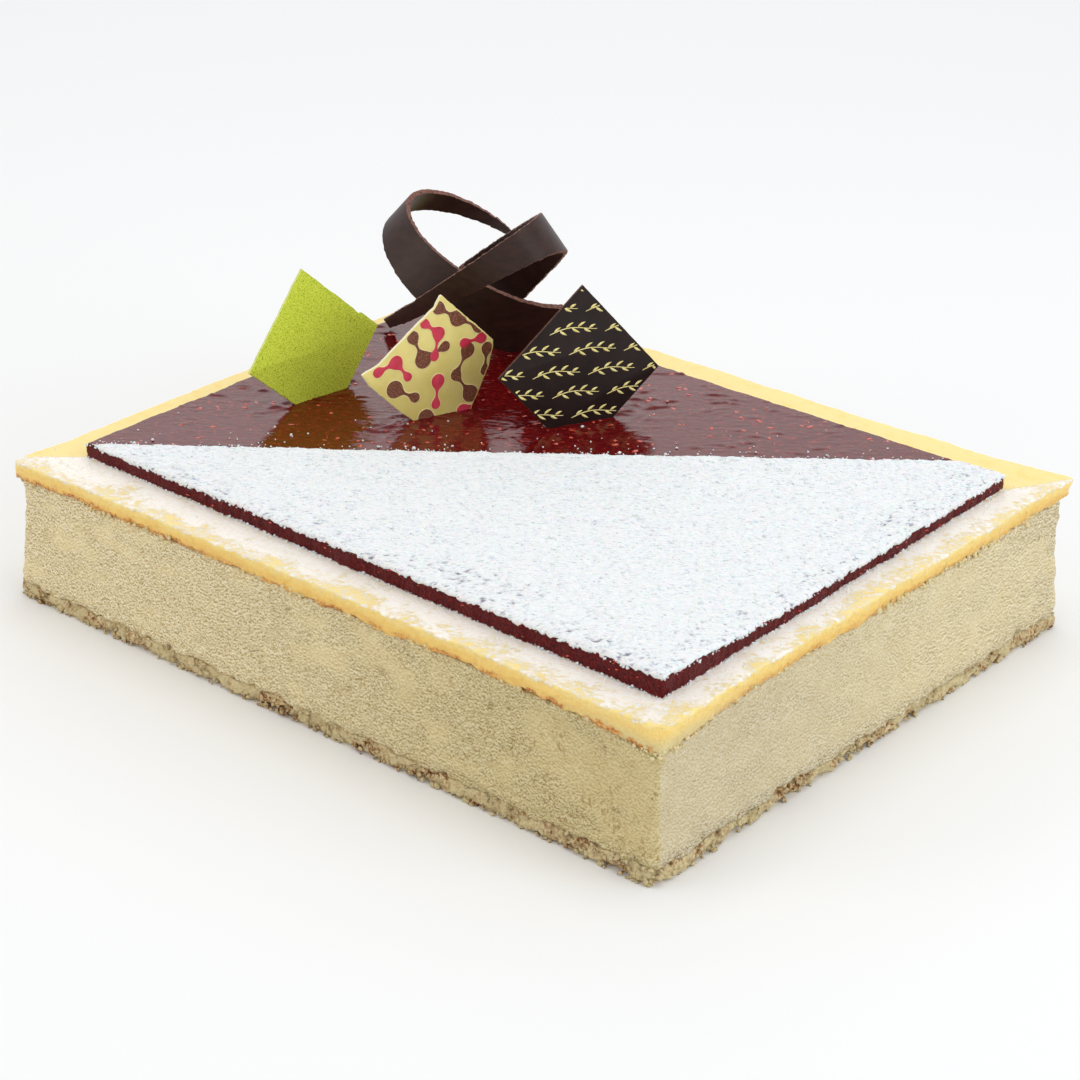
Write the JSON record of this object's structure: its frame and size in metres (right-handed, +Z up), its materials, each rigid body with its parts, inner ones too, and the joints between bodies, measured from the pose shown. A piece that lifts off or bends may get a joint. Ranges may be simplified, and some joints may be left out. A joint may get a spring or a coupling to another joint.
{
  "type": "new york cheesecake",
  "caption": "Baked cheesecake block on a crumb base, topped with raspberry jelly, icing sugar, upright chocolate tiles and two curled chocolate strips.",
  "frame": {"origin": "middle of the underside, under the centre of the bounding box", "axes": "+X along the long side, towards the right end as seen from the front; +Y towards the back; +Z up"},
  "size_m": [0.2738, 0.2224, 0.1131],
  "materials": {
    "crumb": "matt, rough",
    "cheese": "satin",
    "baked_cheese": "satin",
    "jelly": "wet gloss",
    "sugar": "powder",
    "green_chocolate": "velvet spray",
    "white_chocolate": "satin, printed with dots",
    "dark_chocolate": "satin"
  },
  "bodies": {
    "root": {"crumb_base": "crumb", "cheese_filling": "cheese", "baked_top": "baked_cheese", "jelly_slab": "jelly", "icing_sugar": "sugar", "green_tile": "green_chocolate", "cream_tile": "white_chocolate", "dark_tile": "dark_chocolate", "chocolate_loop_left": "dark_chocolate", "chocolate_loop_right": "dark_chocolate"}
  },
  "joints": []
}
